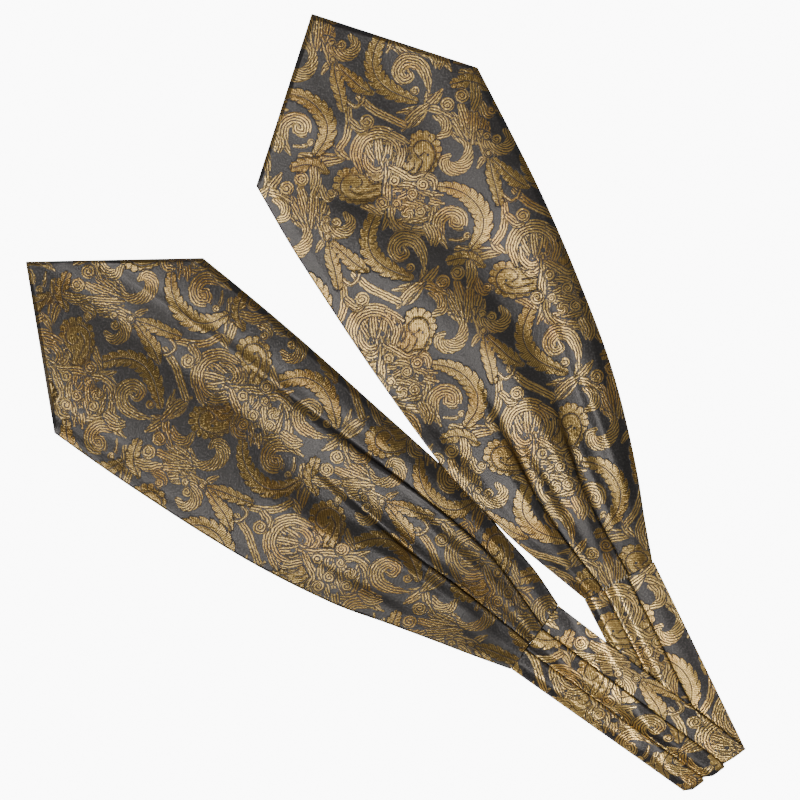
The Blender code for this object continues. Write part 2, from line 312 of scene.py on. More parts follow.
def section_at(half, s, count):
    """One row of a front panel's outside: t, height, place across the flat cloth, way in from its edge."""
    left, right = half.reach("left", s), half.reach("right", s)
    creases = [float(curve(PLEAT_STATIONS, at, s)) for at, _ in half.pleats]
    openings = [
        [float(curve(OPENING_SHARES, OPENING[name], s / length)) for name in ("turn", "radius", "under")]
        for _, length in half.pleats
    ]
    line = pleated_section(left, right, creases, openings, PANEL_WALL)
    arc = arc_lengths(line)
    outside = offset_line(line, 0.5 * PANEL_WALL)
    outside[[0, -1], 0] = line[[0, -1], 0]
    at = steps_across(arc[-1], count)
    t, z = (np.interp(at, arc, outside[:, k]) for k in (0, 1))
    return t, z, at - 0.5 * arc[-1], np.minimum(at, arc[-1] - at)


# %% [markdown]
# ## From sections to a tail
# A row of the mesh is one section. The rows start square to the neck seam and bend, little by
# little, into the pointed end. The edge of a sewn and turned silk panel is a thin soft roll, so
# the last few points of each row turn down to the seam that joins front and back.

# %% How high the soft folds stand
BILLOW, BILLOW_RISE = 1.3, 90.0
FOLD_POWER = 1.2
TROUGH_ROUND = 0.5
NECK_RISE = 12.0
EDGE_FALL = 10.0
CRISP_FALL, CRISP_FROM, CRISP_TO = 4.5, 120.0, 210.0


def soft_relief(half, s, t, share):
    """The height of the soft folds and of the billow over a tail, fading to nothing at its edges."""
    height = BILLOW * ease(s / BILLOW_RISE) * np.ones_like(t)
    for fold in half.folds:
        q = np.clip((s - fold["from"]) / (fold["to"] - fold["from"]), 0.0, 1.0)
        middle = (1 - q) * (1 - 2 * q) * fold["t_from"] + 4 * q * (1 - q) * fold["t_mid"]
        middle = middle + q * (2 * q - 1) * fold["t_to"]
        width = np.where(t < middle, fold["wide_left"], fold["wide_right"])
        ridge = np.sin(math.pi * q) ** FOLD_POWER * np.exp(-(((t - middle) / width) ** 2))
        height = height + fold["height"] * ridge
    height = 0.5 * (height + np.sqrt(height**2 + TROUGH_ROUND))
    fall = EDGE_FALL + (CRISP_FALL - EDGE_FALL) * ease((s - CRISP_FROM) / (CRISP_TO - CRISP_FROM))
    fade = ease((half.reach("left", s) + t) / EDGE_FALL) * ease((half.reach("right", s) - t) / fall)
    return height * fade * ease((1.0 - share) * half.length / CRISP_FALL) * ease(s / NECK_RISE)


# %% Where rows lie, and how the edges turn down
BEND_FROM = 0.4
ROLL = 1.1
SEAM_HEIGHT, SEAM_DEPTH, SEAM_OPEN = 1.1, 0.25, 0.04
LIFT_FROM, TAIL_LIFT, TAIL_RAMP = 1.5, 3.2, 15.0
END_SLANT = 0.7


def tail_stations(half, share, t):
    """How far along the tail each point of one row lies: the rows bend into the pointed end."""
    low, high = half.corners
    v = np.where(t < 0, t / half.reach("left", share * low), t / half.reach("right", share * high))
    corner = 0.5 * (low + high) + 0.5 * (high - low) * v
    point = half.length - 0.5 * (low + high)
    bend = np.clip((share - BEND_FROM) / (1.0 - BEND_FROM), 0.0, 1.0)
    return GAP + share * (corner - GAP) + bend * point * (1 - np.abs(v))


def edge_lift(half, plan):
    """How far the right tail is lifted where its edge lies on the left tail."""
    if half is LEFT:
        return np.zeros(len(plan))
    s, t = LEFT.local(plan)
    beyond = t - LEFT.reach("right", np.clip(s, 0.0, LEFT.corners[1]))
    return TAIL_LIFT * (1 - ease((beyond - LIFT_FROM) / TAIL_RAMP))


def rolled(distance):
    """How far the cloth has turned away from level at a distance inside its edge."""
    inside = np.clip(distance, 0.0, ROLL)
    return ROLL - np.sqrt(ROLL**2 - (ROLL - inside) ** 2)


def row_shares(half, rows):
    """The rows of a tail as shares of its length, closer where its end turns down."""
    span = END_SLANT * half.length
    edge = np.array(EDGE_STEPS)[::-1] / span
    return np.concatenate([np.linspace(0.0, 1.0 - EDGE_BAND / span, rows - len(edge)), 1.0 - edge])


# %% [markdown]
# ## The panels as grids
# A grid holds two things for each point: its place, and its place on the flat cloth. The flat place
# is what later puts the woven pattern on it. The front panels get many more rows and columns than
# the back ones, because the pattern is stored at the points and only the fronts show from above.

# %% The grids of the tails
FRONT_COLUMNS, FRONT_ROWS = 200, 474
BACK_COLUMNS, BACK_ROWS = 122, 330


def tail_front(half):
    """The outside of a tail's front panel: a grid of points and their places on the flat cloth."""
    points, flat = [], []
    shares = row_shares(half, FRONT_ROWS)
    for j, share in enumerate(shares):
        t, z, u, inside = section_at(half, share * 0.5 * sum(half.corners), FRONT_COLUMNS)
        s = tail_stations(half, share, t)
        z = z + soft_relief(half, s, t, share) + PANEL_WALL + GAP + 0.5 * PANEL_WALL
        end = (1.0 - share) * END_SLANT * half.length
        z = z - np.maximum(rolled(inside), rolled(end))
        lip = np.zeros(len(t), bool)
        lip[[0, -1]] = True
        t = t - np.sign(t) * SEAM_DEPTH * lip
        if j == len(shares) - 1:
            s = s - SEAM_DEPTH / END_SLANT
            lip[:] = True
        z = np.where(lip, np.minimum(z, SEAM_HEIGHT), z)
        plan = half.place(s, t)
        points.append(np.column_stack([plan, z + edge_lift(half, plan)]))
        flat.append(np.column_stack([u, s]))
    return np.array(points), np.array(flat)


def tail_back(half):
    """The outside of a tail's back panel, which lies on the table."""
    points, flat = [], []
    low, high = half.corners
    shares = row_shares(half, BACK_ROWS)
    for j, share in enumerate(shares):
        left, right = half.reach("left", share * low), half.reach("right", share * high)
        at = steps_across(left + right, BACK_COLUMNS)
        t = at - left
        s = tail_stations(half, share, t)
        end = (1.0 - share) * END_SLANT * half.length
        turned = np.maximum(rolled(np.minimum(at, left + right - at)), rolled(end))
        z = turned * (SEAM_HEIGHT - SEAM_OPEN) / ROLL
        t[[0, -1]] -= np.sign(t[[0, -1]]) * SEAM_DEPTH
        if j == len(shares) - 1:
            s = s - SEAM_DEPTH / END_SLANT
        plan = half.place(s, t)
        points.append(np.column_stack([plan, z + edge_lift(half, plan)]))
        flat.append(np.column_stack([t, s]))
    return np.array(points), np.array(flat)


GRIDS = {}
for half in (LEFT, RIGHT):
    GRIDS[half.name + "_front"] = tail_front(half)
    GRIDS[half.name + "_back"] = tail_back(half)
for name, (points, _) in GRIDS.items():
    print(name, "grid", points.shape[:2], "highest point", round(points[..., 2].max(), 1), "mm")

# %% [markdown]
# ## Where it lies in the frame
# Until now everything is placed from the middle of the neckband's fold. The tails reach the left
# and the far side of the CAD box, so setting those two sides against it gives the move to make.

# %% The move into the frame
tail_points = np.concatenate([points.reshape(-1, 3) for points, _ in GRIDS.values()])
SHIFT = np.array([cad_low.x / MM - tail_points[:, 0].min(), cad_high.y / MM - tail_points[:, 1].max(), 0.0])
print("The fold's middle lies at", SHIFT.round(2), "mm in the frame")

# %% [markdown]
# ## The neckband
# Each leg of the neckband is the same pleated cloth, closed into a wall with round edges: three
# strips, each lying on the next. The left leg lies on the right one, so it climbs over the right
# leg's edge, and at the fold it turns down in a round nose to meet it.

# %% Sections of the neckband
BAND_WALL = 1.2
BAND_HALF = 27.7
BAND_CREASES = {"left": (-11.0, 7.2), "right": (-13.0, 5.8)}
BAND_OPENING = (180, 0.75, 7.0)
BAND_COLUMNS = 126
BAND_ROWS = 178
NOSE_ROWS = 16
FOLD_HALF = 26.4
FOLD_SLANT = -6.7
BULGE_SHARE = 0.8
BULGE_REACH = 2.6
BAND_RAMP = 16.0
BAND_HEIGHT = 4 * BAND_OPENING[1] + BAND_WALL + STRIP_CROWN


def band_loop(half):
    """The closed section of one leg, out along the top and back along the underside, and its flat places."""
    line = pleated_section(BAND_HALF, BAND_HALF, BAND_CREASES[half.name], [BAND_OPENING] * 2, BAND_WALL)
    line[:, 1] += 0.5 * BAND_WALL
    arc = arc_lengths(line)
    at = steps_across(arc[-1], BAND_COLUMNS)[1:-1]
    inside = np.clip(np.minimum(at, arc[-1] - at), 0.0, 0.5 * BAND_WALL)
    wall = np.sqrt((0.5 * BAND_WALL) ** 2 - (0.5 * BAND_WALL - inside) ** 2)
    sides = []
    for sign in (1.0, -1.0):
        moved = offset_line(line, sign * 0.5 * BAND_WALL)
        full = np.stack([np.interp(at, arc, moved[:, k]) for k in (0, 1)], axis=1)
        middle = np.stack([np.interp(at, arc, line[:, k]) for k in (0, 1)], axis=1)
        sides.append(middle + (full - middle) * (wall / (0.5 * BAND_WALL))[:, None])
    top, under = sides
    u = at - 0.5 * arc[-1]
    return np.concatenate([top, under[-2:0:-1]]), np.concatenate([u, u[-2:0:-1]])


# %% Rows of the neckband, from its seam to the fold
slant = math.radians(FOLD_SLANT)
fold_direction = np.array([math.cos(slant), math.sin(slant)])
fold_outward = rightward(fold_direction)
fold_middle = -BULGE_REACH * fold_outward


def band_plan(half, share, t, short_by=0.0):
    """Plan positions on one row of a leg, from its seam to the fold."""
    v = t / BAND_HALF
    at_seam = half.seam + np.multiply.outer(v * BAND_HALF, half.across)
    at_fold = fold_middle - short_by * fold_outward + np.multiply.outer(v * FOLD_HALF, fold_direction)
    return (1 - share) * at_seam + share * at_fold


def lower_leg(half):
    """The leg that lies on the table, up to just short of the fold."""
    loop, u = band_loop(half)
    shares = np.linspace(0.0, 1.0, BAND_ROWS)
    points = [np.column_stack([band_plan(half, share, loop[:, 0], GAP), loop[:, 1]]) for share in shares]
    flat = [np.column_stack([u, np.full(len(u), -share * half.band_length)]) for share in shares]
    return np.array(points), np.array(flat)


def upper_leg(half, under):
    """The leg that climbs over the other one, with the round fold that turns down to meet it."""
    loop, u = band_loop(half)
    climb = BAND_HEIGHT + GAP
    edge_from = under.seam - BAND_HALF * under.across
    edge_to = fold_middle - FOLD_HALF * fold_direction
    edge = (edge_to - edge_from) / np.linalg.norm(edge_to - edge_from)
    points, flat = [], []
    for share in np.linspace(0.0, 1.0, BAND_ROWS):
        plan = band_plan(half, share, loop[:, 0])
        inside = (plan - edge_from) @ -rightward(edge)
        points.append(np.column_stack([plan, loop[:, 1] + climb * ease(1 + inside / BAND_RAMP)]))
        flat.append(np.column_stack([u, np.full(len(u), -share * half.band_length)]))
    pivot = climb - 0.5 * GAP
    reach = loop[:, 1] + 0.5 * GAP
    for angle in np.linspace(0.0, math.pi, NOSE_ROWS + 1)[1:]:
        plan = band_plan(half, 1.0, loop[:, 0])
        plan = plan + np.multiply.outer(BULGE_SHARE * reach * math.sin(angle), fold_outward)
        points.append(np.column_stack([plan, pivot + reach * math.cos(angle)]))
        flat.append(np.column_stack([u, -half.band_length - angle * reach]))
    return np.array(points), np.array(flat)


GRIDS["lower_leg"] = lower_leg(RIGHT)
GRIDS["upper_leg"] = upper_leg(LEFT, RIGHT)
print("neckband's highest point", round(GRIDS["upper_leg"][0][..., 2].max(), 1), "mm")

# %% [markdown]
# ## The woven pattern
# The silk is a brocade: scrolling baroque leaves in gold on charcoal, with fine dark lines drawn
# inside every leaf. An image could hold it, but a drawing made of brush strokes stays sharp and can
# be changed. Each stroke here is worked out at every point of the mesh, from its place on the flat
# cloth: how deep inside the gold it lies, and which drawn line it is near. The material later turns
# those numbers into crisp edges and lines. The design is a common baroque one in simple strokes,
# on a half-drop repeat: each column is shifted by half the height of the repeat.

# %% The size of the repeat, in mm: every stroke is placed from the medallion's middle
COLUMN, DROP, RISE = 110.3, 62.3, 124.6
CHANNEL = 0.8
PITCH = 1.9

# %% Fans of petals: the middle line, the half widths along it, and the slant of the lines drawn in it
FANS = (
    # fingers inside the bulb
    (((-9, 10), (-16, 18), (-20, 26)), (1.5, 3.6, 2.0), 0.0),
    (((-9, 10), (-11, 20), (-12, 29)), (1.5, 3.6, 2.0), 0.0),
    (((-8, 10), (-5, 18), (-4, 26)), (1.5, 3.6, 2.0), 0.0),
    # palmette
    (((52, 27), (46, 32), (38, 38)), (1.2, 4.2, 1.6), 0.0),
    (((60, 27), (63, 35), (65, 43)), (1.2, 3.6, 1.2), 0.0),
    (((52, 28), (46, 38), (40, 48)), (1.0, 4.4, 2.0), 0.0),
    (((57, 28), (60, 38), (62, 48)), (1.2, 3.8, 1.6), 0.0),
    (((53, 28), (50, 42), (46, 54)), (1.2, 4.6, 3.0), 0.0),
    (((54, 28), (55, 41), (55, 54)), (1.2, 4.0, 2.6), 0.0),
    # sheath at the end of the upper leaf
    (((20, 51), (23, 58), (22, 66)), (1.4, 3.4, 1.0), 0.0),
    (((20, 51), (27, 58), (32, 65)), (1.4, 3.4, 1.2), 0.0),
    (((20, 52), (29, 51), (39, 46)), (2.0, 2.8, 1.6), 0.0),
    (((22, 53), (11, 50), (1, 48)), (1.6, 2.8, 0.8), 0.0),
    (((22, 53), (15, 43), (10, 38)), (1.6, 3.2, 1.0), 0.0),
    (((22, 54), (12, 46), (5, 36)), (1.6, 3.8, 1.4), 0.0),
    # bud of the spray
    (((-44, 80), (-39, 85), (-31, 84)), (3.0, 3.4, 1.0), 0.0),
    (((-44, 82), (-49, 79), (-52, 74)), (3.0, 2.4, 1.4), 0.0),
    (((-43, 79), (-46, 88), (-50, 97)), (3.4, 5.2, 3.4), 0.0),
    # second spray of short fronds
    (((79, -47), (62, -49), (46, -47)), (1.2, 5.2, 3.0), 0.0),
    (((77, -48), (62, -51), (50, -56)), (1.0, 3.2, 1.4), 0.0),
    (((79, -48), (73, -44), (68, -39)), (1.0, 2.8, 1.0), 0.0),
)

# %% Lobed cushions: the outline, the ribs' direction in degrees, and how far the scallops stand out
LOBES = (
    (
        ((-26, 8), (-28, 20), (-22, 31), (-10, 35), (1, 31), (6, 21), (4, 10), (-9, 5)),
        None, 0.3,
    ),
    (
        ((-24, 3), (-13, 9), (-2, 12), (10, 9), (24, 7), (30, 0),
         (28, -8), (12, -10), (-4, -11), (-14, -10)),
        None, 0.3,
    ),
    (
        ((-7, -8), (-6, -20), (-4, -31), (5, -38), (18, -39), (27, -33),
         (31, -22), (33, -12), (24, -5), (8, -4)),
        None, 0.4,
    ),
    (
        ((-14, 7), (-22, 8), (-30, 8), (-37, 7), (-41, 1), (-42, -6), (-39, -12),
         (-32, -16), (-22, -17), (-13, -14), (-6, -8), (-7, 2)),
        0.0, 1.5,
    ),
    (
        ((5, 9), (9, 16), (9, 25), (12, 33), (19, 36), (27, 33),
         (32, 26), (31, 16), (27, 8), (20, 3), (11, 2)),
        90.0, 1.5,
    ),
)

# %% Rims, straps and ribbons: columns as for the fans
RIMS = (
    # medallion, left of the eye, bulb
    (
        ((-23, 6), (-27, 18), (-22, 30), (-10, 34), (1, 29), (5, 20), (3, 11)),
        (1.6, 4.2, 4.6, 4.4, 4.2, 3.8, 2.0),
        0.0,
    ),
    (((-21, 18), (-19, 10), (-13, 6), (-8, 8), (-9, 12)), (1.2, 2.4, 2.8, 2.2, 1.0), 0.0),
    # cartouche
    (((-4, -18), (-4, -27), (-7, -34)), (3.0, 2.8, 1.2), 0.0),
    (
        ((0, -14), (-1, -24), (4, -32), (14, -35), (23, -31), (27, -22), (26, -11)),
        (2.0, 3.0, 3.4, 4.0, 4.4, 4.0, 2.2),
        0.0,
    ),
    (((16, -34), (24, -35), (27, -44)), (3.0, 3.6, 0.8), 0.0),
    (((6, -12), (14, -8), (24, -9), (34, -9)), (3.6, 4.6, 3.4, 0.8), 0.0),
    (((6, -18), (14, -17), (22, -18)), (3.8, 4.6, 3.8), 0.3),
    (((5, -25), (12, -25), (20, -25)), (3.4, 4.6, 3.8), -0.3),
    (((22, -12), (29, -14), (35, -15)), (3.0, 2.6, 0.8), 0.0),
    # strap through the middle
    (((-20, 4), (-12, 0), (-7, 3), (-5, 10)), (1.0, 2.6, 2.8, 1.6), 0.0),
    (((-5, 12), (-4, 3), (-5, -6), (-5, -14), (-11, -21)), (1.6, 3.0, 3.2, 3.0, 1.6), 0.0),
    (((-3, 9), (5, 5), (13, 1), (21, 3), (27, 1), (28, -4)), (1.8, 3.0, 3.2, 3.8, 3.2, 1.6), 0.0),
    (((3, -3), (10, -3), (18, -6), (26, -9)), (1.4, 2.8, 2.8, 1.6), 0.0),
    (((-22, -19), (-15, -20), (-9, -22)), (1.4, 3.0, 2.4), 0.3),
    # horn at the bulb's right
    (((-2, 33), (4, 30), (9, 27)), (1.8, 2.2, 1.4), 0.0),
    (((-30, 40), (-24, 36), (-17, 42)), (2.4, 4.0, 2.6), 0.0),
)
RIBBONS = (
    (((-26, 58), (-15, 49), (-4, 44), (5, 40)), (2.4, 3.0, 3.0, 2.6), 0.0),
    (((77, -12), (78, -24), (76, -34), (72, -40)), (2.2, 2.8, 3.0, 2.6), 0.0),
    (
        ((-43, 76), (-39, 64), (-33, 54), (-28, 51), (-24, 54), (-22, 60)),
        (1.2, 1.4, 1.5, 1.5, 1.4, 0.9),
        0.0,
    ),
)

# %% Leaves: the middle line, the half widths, and the length of a tooth
LEAVES = (
    (
        ((-12, 101), (-16, 91), (-17, 81), (-13, 71), (-5, 64), (4, 60), (13, 57)),
        (5.0, 6.0, 6.6, 7.4, 7.0, 5.4, 3.0),
        6.2,
    ),
    (
        ((30, -3), (40, -4), (50, -8), (58, -15), (63, -25), (62, -35), (57, -43)),
        (3.0, 5.0, 6.2, 7.4, 7.2, 6.4, 4.0),
        6.2,
    ),
    (((-44, 79), (-42, 69), (-39, 59), (-37, 50)), (2.2, 5.0, 4.6, 3.4), 6.0),
    (((-41, 79), (-33, 72), (-26, 66), (-17, 61)), (2.6, 4.8, 6.0, 2.0), 6.0),
    (((41, 70), (49, 72), (56, 71), (64, 67)), (4.0, 5.4, 5.2, 2.0), 5.0),
)
# Curling fronds, such as rosettes and commas: columns as for the fans
FRONDS = (
    (
        ((23, 63), (21, 74), (15, 83), (6, 84), (1, 77), (5, 71), (10, 74), (8, 78)),
        (0.8, 3.6, 5.2, 5.8, 4.8, 3.6, 2.4, 1.2),
        0.0,
    ),
    (
        ((38, -46), (32, -35), (33, -25), (40, -21), (47, -24), (47, -30), (41, -29), (41, -25)),
        (0.8, 4.0, 4.6, 5.0, 5.0, 3.8, 2.4, 1.2),
        0.0,
    ),
    (
        ((43, 31), (50, 27), (51, 18), (46, 11), (38, 10), (34, 15), (38, 19)),
        (1.0, 2.4, 4.0, 4.8, 4.8, 3.8, 1.6),
        0.5,
    ),
    (((61, 37), (63, 29), (70, 25), (78, 26), (81, 33), (77, 38)), (1.0, 2.6, 4.2, 4.2, 3.4, 2.0), 0.5),
    (((27, 46), (34, 43), (36, 36), (31, 32)), (1.4, 3.4, 3.6, 2.2), 0.4),
    (((56, 60), (60, 54), (65, 49), (70, 52)), (3.2, 3.6, 3.0, 1.8), 0.3),
    (((54, 68), (56, 61), (55, 53)), (3.0, 4.2, 2.4), 0.2),
    (((24, 93), (30, 86), (30, 80)), (3.0, 4.0, 1.0), 0.3),
    (((40, -40), (47, -40), (52, -38)), (1.0, 1.6, 1.8), 0.0),
)

# %% Curls: the middle, the radius, and the number of spiral arms
CURLS = (
    ((13, 64), 3.2, 1),
    ((36, 55), 5.0, 1),
    ((46, 61.5), 5.0, -1),
    ((-20, 41), 5.0, 1),
    ((-8, -16), 4.8, -1),
    ((20, -2), 4.4, 1),
    ((0, 0), 4.0, 0),
    ((10, -23), 4.4, 5),
    ((19, -21), 4.2, 1),
    ((13, -9), 4.0, -1),
    ((2, -16), 3.2, 1),
    ((71, 32), 3.4, 1),
    ((52, -37), 2.6, 1),
    ((67, 52), 3.0, -1),
    ((-45, 84), 2.6, 0),
    ((-46, 96), 2.6, 1),
)

# %% Grooves drawn on top, and holes: the middle and the radius of each
GROOVES = (
    ((-10, -12), (-22, -14), (-33, -12), (-37, -5), (-34, 2), (-26, 3), (-22, -2), (-26, -6)),
    ((-11, -6), (-19, -9), (-26, -10), (-31, -7)),
    ((-22, 8), (-19, 3), (-12, 3)),
    ((-9, -1), (-15, -3), (-19, -4)),
    ((20, 3), (26, 11), (28, 20), (24, 28), (16, 28), (13, 22), (17, 18), (21, 21)),
    ((14, 5), (18, 10), (19, 15), (16, 17)),
    ((8, 12), (11, 16), (10, 22)),
    ((9, 6), (13, 9), (14, 14)),
)
HOLES = (
    (-13, 13, 1.6), (-5, 17, 1.8), (3, -24, 2.4), (23, -13, 2.2), (2, -9, 1.4),
    (-30, -5, 1.1), (23, 19, 1.1), (14, 70, 2.2), (18, 67, 2.2), (40, -33, 2.0),
    (50, -31, 1.4), (41, 16, 1.3), (7, -6, 1.2), (5, 24, 1.3), (-17, 22, 1.0),
)
STROKE_TABLES = (FANS, LOBES, RIMS, RIBBONS, LEAVES, FRONDS, CURLS, GROOVES, HOLES)
print("Strokes in one repeat:", sum(len(table) for table in STROKE_TABLES))

# %% [markdown]
# ## The brushes
# A drawing keeps four numbers for each place in the repeat. Each brush works out how deep every
# nearby place lies inside its stroke, and lays that over what is there. A new stroke pushes a thin
# dark channel into the older ones, which is what parts the leaves of a real brocade.

# %% The drawing, and how a stroke is laid on it
UNDRAWN = -6.0
STROKE_STEP, FEWEST_STEPS = 0.8, 12
MARGIN = 3.0


class Drawing:
    """The depth inside the gold, line phase, line strength and rib place at each place of the repeat."""

    def __init__(self, places):
        self.places = places
        self.depth = np.full(len(places), UNDRAWN)
        self.phase = np.zeros(len(places))
        self.strength = np.zeros(len(places))
        self.ribs = np.zeros(len(places))

    def near(self, low, high):
        """The places inside a box, for each repeat of it that reaches them."""
        x, y = self.places.T
        for column in range(-2, 3):
            for step in range(-3, 4):
                move = np.array([column * COLUMN, step * RISE - column * DROP])
                (x0, y0), (x1, y1) = low + move, high + move
                if x1 < 0 or x0 > COLUMN or y1 < 0 or y0 > RISE:
                    continue
                pick = np.nonzero((x > x0) & (x < x1) & (y > y0) & (y < y1))[0]
                if len(pick):
                    yield pick, self.places[pick] - move

    def lay(self, pick, depth, phase, strength, ribs):
        """Lay a stroke over what is there, with a channel of bare ground round it."""
        self.depth[pick] = np.maximum(depth, np.minimum(self.depth[pick], -depth - CHANNEL))
        on = depth > -0.5 * CHANNEL
        for channel, value in ((self.phase, phase), (self.strength, strength), (self.ribs, ribs)):
            channel[pick[on]] = np.broadcast_to(value, depth.shape)[on]

    def stroke(self, points, widths):
        """For the places near a curve: how far along it, beside it and beyond its ends, and its width."""
        points = np.array(points, float)
        stations = arc_lengths(points)
        at = np.linspace(0.0, stations[-1], max(FEWEST_STEPS, int(stations[-1] / STROKE_STEP)))
        line = np.stack([curve(stations, points[:, k], at) for k in (0, 1)], axis=1)
        width = curve(stations, widths, at)
        arc = arc_lengths(line)
        tangent = np.gradient(line, axis=0)
        tangent /= np.linalg.norm(tangent, axis=1)[:, None]
        margin = max(widths) + MARGIN
        for pick, places in self.near(line.min(axis=0) - margin, line.max(axis=0) + margin):
            # the distance less the half width decides which part of a curling band a place belongs to
            gap = np.sqrt(((places[:, None] - line) ** 2).sum(axis=2))
            nearest = (gap - 0.6 * width).argmin(axis=1)
            offset = places - line[nearest]
            along = arc[nearest] + (offset * tangent[nearest]).sum(axis=1)
            beside = tangent[nearest, 0] * offset[:, 1] - tangent[nearest, 1] * offset[:, 0]
            beyond = np.maximum(np.maximum(-along, along - arc[-1]), 0.0)
            yield pick, along, beside, beyond, np.interp(along, arc, width)


# %% Leaves and bands
LEAF_LEAN = 0.7
TOOTH_BITE, TIP_BITE = 0.34, 0.1
VEIN_SHARE = 0.3
LEAF_RIBS_FROM = 10.0


def tooth_lines(teeth, length):
    """The phase of a short line between each tooth and the next."""
    nearest = np.round(teeth)
    return PITCH * nearest + np.clip((teeth - nearest) * length, -1, 1)


def draw_leaf(drawing, points, widths, tooth):
    """A leaf with slanting teeth on both sides, a vein, a line between teeth, and ribs across it."""
    for pick, along, beside, beyond, width in drawing.stroke(points, widths):
        lean = (along + LEAF_LEAN * np.abs(beside)) / tooth + np.where(beside > 0, 0.0, 0.5)
        part = lean % 1.0
        depth = width * (1 - TOOTH_BITE * part**3 - TIP_BITE * (1 - part) ** 4) - np.hypot(beside, beyond)
        share = np.abs(beside) / np.maximum(width, 0.5)
        phase = np.where(share < VEIN_SHARE, np.clip(beside, -1, 1), tooth_lines(lean, tooth))
        vein = 1 - ease((share - 0.16) / 0.12)
        strength = np.where(share < VEIN_SHARE, vein, ease((share - 0.38) / 0.2))
        drawing.lay(pick, depth, phase, strength, LEAF_RIBS_FROM + along)


def draw_band(drawing, points, widths, slanted):
    """A ribbon or petal with lines along it, which may slant off its sides."""
    for pick, along, beside, beyond, width in drawing.stroke(points, widths):
        phase = beside + slanted * along + 0.5 * PITCH
        drawing.lay(pick, width - np.hypot(beside, beyond), phase, 1.0, 0.0)


# %% Grooves, holes and curls
def draw_groove(drawing, *points):
    """One more dark line on the gold that is already there."""
    for pick, along, beside, beyond, width in drawing.stroke(points, [1.0] * len(points)):
        on = (np.abs(beside) < 1.0) & (beyond < 0.5)
        drawing.phase[pick[on]] = beside[on]
        drawing.strength[pick[on]] = 1 - ease((np.abs(beside[on]) - 0.6) / 0.4)


def draw_hole(drawing, x, y, radius):
    """A round hole, where the ground shows."""
    middle = np.array([x, y], float)
    for pick, places in drawing.near(middle - radius - 2, middle + radius + 2):
        offset = places - middle
        out = np.hypot(offset[:, 0], offset[:, 1]) - radius
        drawing.depth[pick] = np.minimum(drawing.depth[pick], out)


def draw_curl(drawing, middle, radius, arms):
    """A disc with a spiral drawn in it, or rings where it has no arms."""
    middle = np.array(middle, float)
    for pick, places in drawing.near(middle - radius - MARGIN, middle + radius + MARGIN):
        offset = places - middle
        out = np.hypot(*offset.T)
        turn = np.arctan2(offset[:, 1], offset[:, 0]) / (2 * math.pi)
        drawing.lay(pick, radius - out, out + arms * PITCH * turn, 1.0, 0.0)


# %% Lobed cushions
SCALLOP = 5.6
OUTLINE_STEPS = 160
LOBE_MARGIN = 4
LOBE_RIBS_FROM = 100.0


def draw_lobe(drawing, outline, rib_turn, bumps):
    """A cushion with a scalloped edge, with ribs across it or lines that follow its edge."""
    outline = np.array(outline, float)
    closed = np.concatenate([outline[-2:], outline, outline[:2]])
    stations = arc_lengths(closed)
    at = np.linspace(stations[2], stations[len(outline) + 2], OUTLINE_STEPS)[:-1]
    line = np.stack([curve(stations, closed[:, k], at) for k in (0, 1)], axis=1)
    arc = at - at[0]
    scallop = bumps * (np.abs(np.sin(math.pi * arc / SCALLOP)) - 0.6)
    tangent = np.gradient(np.concatenate([line[-1:], line, line[:1]]), axis=0)[1:-1]
    tangent /= np.linalg.norm(tangent, axis=1)[:, None]
    turn = math.radians(rib_turn or 0.0)
    area = 0.5 * (line[:, 0] * np.roll(line[:, 1], -1) - np.roll(line[:, 0], -1) * line[:, 1]).sum()
    side = 1.0 if area > 0 else -1.0
    for pick, places in drawing.near(line.min(axis=0) - LOBE_MARGIN, line.max(axis=0) + LOBE_MARGIN):
        gap = ((places[:, None] - line) ** 2).sum(axis=2)
        nearest = gap.argmin(axis=1)
        offset = places - line[nearest]
        inside = side * (tangent[nearest, 0] * offset[:, 1] - tangent[nearest, 1] * offset[:, 0])
        depth = np.sign(inside) * np.sqrt(gap[np.arange(len(nearest)), nearest]) + scallop[nearest]
        if rib_turn is None:
            drawing.lay(pick, depth, depth, 1.0, 0.0)
        else:
            ribs = LOBE_RIBS_FROM - places[:, 0] * math.sin(turn) + places[:, 1] * math.cos(turn)
            phase = tooth_lines(arc[nearest] / SCALLOP, SCALLOP)
            drawing.lay(pick, depth, phase, 1 - ease((depth - 2.2) / 2.0), ribs)


# %% The whole repeat, stroke by stroke
STROKE_ORDER = (
    (draw_lobe, LOBES),
    (draw_band, FANS + RIBBONS),
    (draw_leaf, LEAVES),
    (draw_band, RIMS + FRONDS),
    (draw_curl, CURLS),
    (draw_groove, GROOVES),
    (draw_hole, HOLES),
)


def woven(places):
    """The drawing's four numbers at places in the pattern."""
    column = np.floor(places[:, 0] / COLUMN)
    across = places[:, 0] - column * COLUMN
    up = (places[:, 1] + column * DROP) % RISE
    drawing = Drawing(np.stack([across, up], axis=1))
    for brush, table in STROKE_ORDER:
        for row in table:
            brush(drawing, *row)
    return np.stack([drawing.depth, drawing.phase, drawing.strength, drawing.ribs], axis=1)


# %% [markdown]
# ## How the cloth was cut
# Ties and cravats are cut on the slant, so the pattern stands at an angle to each tail, and the two
# tails mirror each other. Each piece has its own place in the pattern.

# %% The pattern's turn and place on each piece
CUT_TURN = math.radians(30.4)
CUT_COLUMNS = ("mirror", "u", "s")
CUTS = {
    "left_front": (-1, 42.7, 372.0),
    "right_front": (1, -2.2, 321.0),
    "left_back": (-1, 10.0, 300.0),
    "right_back": (1, 30.0, 280.0),
    "upper_leg": (-1, 20.0, -60.0),
    "lower_leg": (1, -10.0, -40.0),
}


